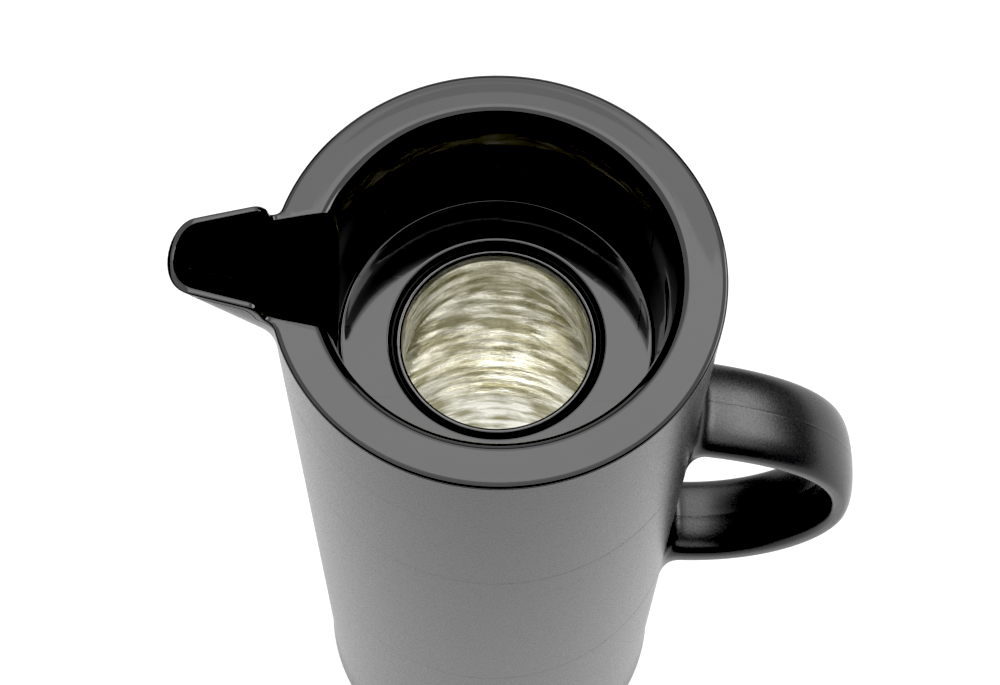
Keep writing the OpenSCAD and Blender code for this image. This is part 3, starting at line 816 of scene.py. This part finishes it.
# ---- materials ------------------------------------------------------------------------------------
def noise(tree, place, scale, detail, stretch=(1, 1, 1)):
    """Fractal noise in object space; scale is its number of features in a metre."""
    mapping = tree.nodes.new("ShaderNodeMapping")
    mapping.inputs["Scale"].default_value = stretch
    tree.links.new(place, mapping.inputs["Vector"])
    node = tree.nodes.new("ShaderNodeTexNoise")
    node.inputs["Scale"].default_value = scale
    node.inputs["Detail"].default_value = detail
    tree.links.new(mapping.outputs["Vector"], node.inputs["Vector"])
    return node.outputs["Fac"]


def ramp(tree, fac, low, high, span=(0.3, 0.7)):
    """Two tones, or two grey values, mixed by fac within its span."""
    node = tree.nodes.new("ShaderNodeValToRGB")
    for element, at, tone in zip(node.color_ramp.elements, span, (low, high)):
        element.position = at
        element.color = (*tone, 1) if isinstance(tone, tuple) else (tone, tone, tone, 1)
    tree.links.new(fac, node.inputs["Fac"])
    return node.outputs["Color"]


def bump(tree, height, distance, strength, before=None):
    node = tree.nodes.new("ShaderNodeBump")
    node.inputs["Distance"].default_value = distance * MM
    node.inputs["Strength"].default_value = strength
    tree.links.new(height, node.inputs["Height"])
    if before:
        tree.links.new(before, node.inputs["Normal"])
    return node.outputs["Normal"]


def moulded(name, tones, rough, mottle, grain, stretch=(1, 1, 1), **inputs):
    """A material of mottled tones and roughness with a fine grain (scale, depth in mm, strength)."""
    material = bpy.data.materials.new(name)
    material.use_nodes = True
    tree = material.node_tree
    shader = tree.nodes["Principled BSDF"]
    for key, value in inputs.items():
        shader.inputs[key.replace("_", " ")].default_value = value
    place = tree.nodes.new("ShaderNodeTexCoord").outputs["Object"]
    spots = noise(tree, place, mottle, 4, stretch)
    fine = noise(tree, place, grain[0], 3, stretch)
    tree.links.new(ramp(tree, spots, *tones), shader.inputs["Base Color"])
    tree.links.new(ramp(tree, fine, *rough), shader.inputs["Roughness"])
    normal = bump(tree, spots, grain[1] * 2, grain[2] * 0.4)
    tree.links.new(bump(tree, fine, grain[1], grain[2], normal), shader.inputs["Normal"])
    return material


GLASS_TONE = (0.065, 0.065, 0.065)
PLAIN_GLASS = 3.5                    # height of the lip that isn't silvered
SILVER_PAINTED_GLOW = (0.088, 0.125, 0.4, 0.02)  # two heights in metres and the painted glow at each: emission that stands in for light on the silver, strong low down, faint near the lip


def silvered():
    """Warm silver behind blown glass, in broken rings, plain grey glass at the lip; a painted glow,
    emission in its own colour standing in for light, makes it brighter low down.
    """
    tones = ((0.30, 0.285, 0.19), (0.90, 0.895, 0.86), (0.42, 0.60))
    material = moulded("silvered_glass", tones, (0.03, 0.10), 70, (420, 0.14, 0.6), (1, 1, 2.5),
                       Metallic=1.0)
    tree = material.node_tree
    shader = tree.nodes["Principled BSDF"]
    silver = shader.inputs["Base Color"].links[0].from_socket
    split = tree.nodes.new("ShaderNodeSeparateXYZ")
    tree.links.new(tree.nodes["Texture Coordinate"].outputs["Object"], split.inputs[0])
    height = tree.nodes.new("ShaderNodeMapRange")
    height.inputs["From Min"].default_value = (LIP_Z - PLAIN_GLASS - 0.5) * MM
    height.inputs["From Max"].default_value = (LIP_Z - PLAIN_GLASS) * MM
    tree.links.new(split.outputs["Z"], height.inputs["Value"])
    mix = tree.nodes.new("ShaderNodeMix")
    mix.data_type = "RGBA"
    tree.links.new(height.outputs["Result"], mix.inputs["Factor"])
    tree.links.new(silver, mix.inputs[6])
    mix.inputs[7].default_value = (*GLASS_TONE, 1)
    tree.links.new(mix.outputs[2], shader.inputs["Base Color"])
    # Painted glow: the silver and the grey lip emit their own colour. This stands in for light inside the
    # flask, strong below the first height and faint above the second.
    tree.links.new(mix.outputs[2], shader.inputs["Emission Color"])
    painted_glow = tree.nodes.new("ShaderNodeMapRange")
    for key, value in zip(("From Min", "From Max", "To Min", "To Max"), SILVER_PAINTED_GLOW):
        painted_glow.inputs[key].default_value = value
    tree.links.new(split.outputs["Z"], painted_glow.inputs["Value"])
    tree.links.new(painted_glow.outputs["Result"], shader.inputs["Emission Strength"])
    return material


BLACK = ((0.003, 0.003, 0.0033), (0.006, 0.006, 0.0063))
SHELL_TONES = ((0.007, 0.007, 0.0073), (0.012, 0.012, 0.0125))
BASE_TONES = ((0.012, 0.012, 0.013), (0.02, 0.02, 0.021))
FOOT_TONES = ((0.02, 0.02, 0.02), (0.035, 0.035, 0.034))
MINERAL_TONES = ((0.42, 0.40, 0.36), (0.6, 0.58, 0.52))
FOAM_TONES = ((0.10, 0.10, 0.095), (0.18, 0.18, 0.17))
SLOT_MATERIALS = {
    "shell_plastic": moulded("shell_plastic", SHELL_TONES, (0.23, 0.31), 90, (1500, 0.04, 0.6)),
    "collar_plastic": moulded("collar_plastic", BLACK, (0.03, 0.07), 60, (260, 0.01, 0.12)),
    "base_plastic": moulded("base_plastic", BASE_TONES, (0.4, 0.5), 80, (1500, 0.05, 0.3)),
    "seal_rubber": moulded("seal_rubber", BLACK, (0.5, 0.65), 120, (900, 0.05, 0.3)),
    "foot_rubber": moulded("foot_rubber", FOOT_TONES, (0.6, 0.8), 120, (1200, 0.08, 0.4)),
    "silvered_glass": silvered(),
    "spacer_mineral": moulded("spacer_mineral", MINERAL_TONES, (0.7, 0.9), 300, (900, 0.1, 0.5)),
    "pad_foam": moulded("pad_foam", FOAM_TONES, (0.8, 0.95), 500, (1400, 0.3, 0.6)),
}


# ---- pieces ---------------------------------------------------------------------------------------
def add_piece(obj, body, slot, node):
    """Dresses a piece for its slot, lets it ride its body and puts it in place of the CAD node."""
    obj.data.materials.append(SLOT_MATERIALS[slot])
    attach(obj, body)
    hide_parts(node)


def build_pieces():
    """The collar, the shell and the inner glass, each in place of its CAD node."""
    collar_grids, seam_t, seam_a = collar_parts()
    mould_lines = [mould_line(1, RIM_Z - 6), mould_line(-1, FLOOR_Z + 5)]
    collar = make_mesh("collar", collar_grids, mould_lines, wall=0.6)
    add_piece(collar, "jug", "collar_plastic", "pour_collar")
    shell = make_mesh("shell", shell_parts(seam_t, seam_a), wall=0.8, out=None)
    add_piece(shell, "jug", "shell_plastic", "outer_shell")
    flask = make_mesh("flask", flask_grid(), mirror=False, out=None)
    add_piece(flask, "flask", "silvered_glass", "flask_inner")


def dress_cad():
    """Gives every carried-over CAD node the material of its slot."""
    for part in frame["record"]["subparts"]:
        obj = bpy.data.objects[part["node"]]
        obj.data.materials.clear()
        obj.data.materials.append(SLOT_MATERIALS[part["material_slot"]])


# ---- camera, floor and light ----------------------------------------------------------------------
CAMERA_PLACE = (-0.002164, -0.216882, 0.705791)
CAMERA_TURNS = (65.553, 1.6604, -0.8)  # down from level, roll, and turn about Z, in degrees


def camera():
    """The camera stands above the front, looks down into the mouth and is rolled by a little."""
    tilt, roll, turn = (math.radians(d) for d in CAMERA_TURNS)
    forward = Vector((0, math.cos(tilt), -math.sin(tilt)))
    up = Vector((0, math.sin(tilt), math.cos(tilt)))
    right = Vector((1, 0, 0))
    side = math.cos(roll) * right + math.sin(roll) * up
    top = math.cos(roll) * up - math.sin(roll) * right
    axes = Matrix((side, top, -forward)).transposed()
    data = bpy.data.cameras.new("camera")
    data.lens = 75.0
    data.sensor_width = 36.0
    data.clip_start = 0.01
    data.clip_end = 20
    obj = bpy.data.objects.new("camera", data)
    place = Matrix.Translation(CAMERA_PLACE)
    obj.matrix_world = place @ (Matrix.Rotation(turn, 3, "Z") @ axes).to_4x4()
    bpy.context.scene.collection.objects.link(obj)
    bpy.context.scene.camera = obj


def panel(name, place, size, strength, aim=(0, 0, 0.2)):
    """A soft light of the given radiance that faces aim."""
    data = bpy.data.lights.new(name, "AREA")
    data.shape = "RECTANGLE"
    data.size, data.size_y = size
    data.energy = strength * size[0] * size[1] * math.pi
    obj = bpy.data.objects.new(name, data)
    obj.location = place
    obj.rotation_euler = (Vector(place) - Vector(aim)).to_track_quat("Z", "Y").to_euler()
    bpy.context.scene.collection.objects.link(obj)


def floor_and_backdrop():
    """A pale floor, and a white backdrop that only the camera sees."""
    bpy.ops.mesh.primitive_plane_add(size=6)
    floor = bpy.context.object
    floor.name = "floor"
    tones = ((0.25, 0.25, 0.25), (0.27, 0.27, 0.27))
    paper = moulded("floor", tones, (0.7, 0.8), 3, (200, 0.1, 0.1), Emission_Strength=0.85)
    floor.data.materials.append(paper)
    bpy.ops.mesh.primitive_cylinder_add(
        vertices=64, radius=2.9, depth=3.4, location=(0, 0, 1.65), end_fill_type="NOTHING")
    backdrop = bpy.context.object
    backdrop.name = "backdrop"
    paint = bpy.data.materials.new("backdrop")
    paint.use_nodes = True
    shader = paint.node_tree.nodes["Principled BSDF"]
    shader.inputs["Emission Color"].default_value = (1, 1, 1, 1)
    shader.inputs["Emission Strength"].default_value = 1.0
    backdrop.data.materials.append(paint)
    for ray in ("visible_diffuse", "visible_glossy", "visible_transmission", "visible_shadow"):
        setattr(backdrop, ray, False)


CEILING_Z = 2.2
CEILING_STRIPS = {                   # near edge, far edge, width and radiance
    "ceiling_near": (-0.07, 0.39, 1.1, 2.2),
    "ceiling_1": (0.4, 1.0, 1.1, 4.7),
    "ceiling_2": (1.0, 1.3, 1.1, 3.7),
    "ceiling_3": (1.3, 2.4, 1.1, 2.9),
    "ceiling_front": (-0.9, -0.1, 6.4, 2.0),
}


def lights():
    """A ceiling of soft strips, dimmer wings at both sides of it, and a panel at the side and the back."""
    for name, (near, far, width, strength) in CEILING_STRIPS.items():
        middle = (near + far) / 2
        panel(name, (0, middle, CEILING_Z), (width, far - near), strength, aim=(0, middle, 0))
    for name, x in (("wing_left", -1.85), ("wing_right", 1.85)):
        panel(name, (x, 1.1, CEILING_Z), (2.6, 2.6), 1.7, aim=(x, 1.1, 0))
    panel("side", (2.4, 0.9, 2.0), (1.6, 1.2), 5.0, aim=(0.1, 0, 0.2))
    panel("back", (0, 2.8, 1.0), (3, 1.8), 1.2, aim=(0, 0, 1.0))
    world = bpy.data.worlds.new("studio")
    bpy.context.scene.world = world
    world.use_nodes = True
    world.node_tree.nodes["Background"].inputs[0].default_value = (1, 1, 1, 1)
    world.node_tree.nodes["Background"].inputs[1].default_value = 0.12


def view_settings():
    """Plain tones, with the deepest ones drawn down to black."""
    view = bpy.context.scene.view_settings
    view.view_transform = "Standard"
    view.use_curve_mapping = True
    view.curve_mapping.black_level = (0.018, 0.018, 0.018)
    view.curve_mapping.update()


build_pieces()
dress_cad()
camera()
floor_and_backdrop()
lights()
view_settings()
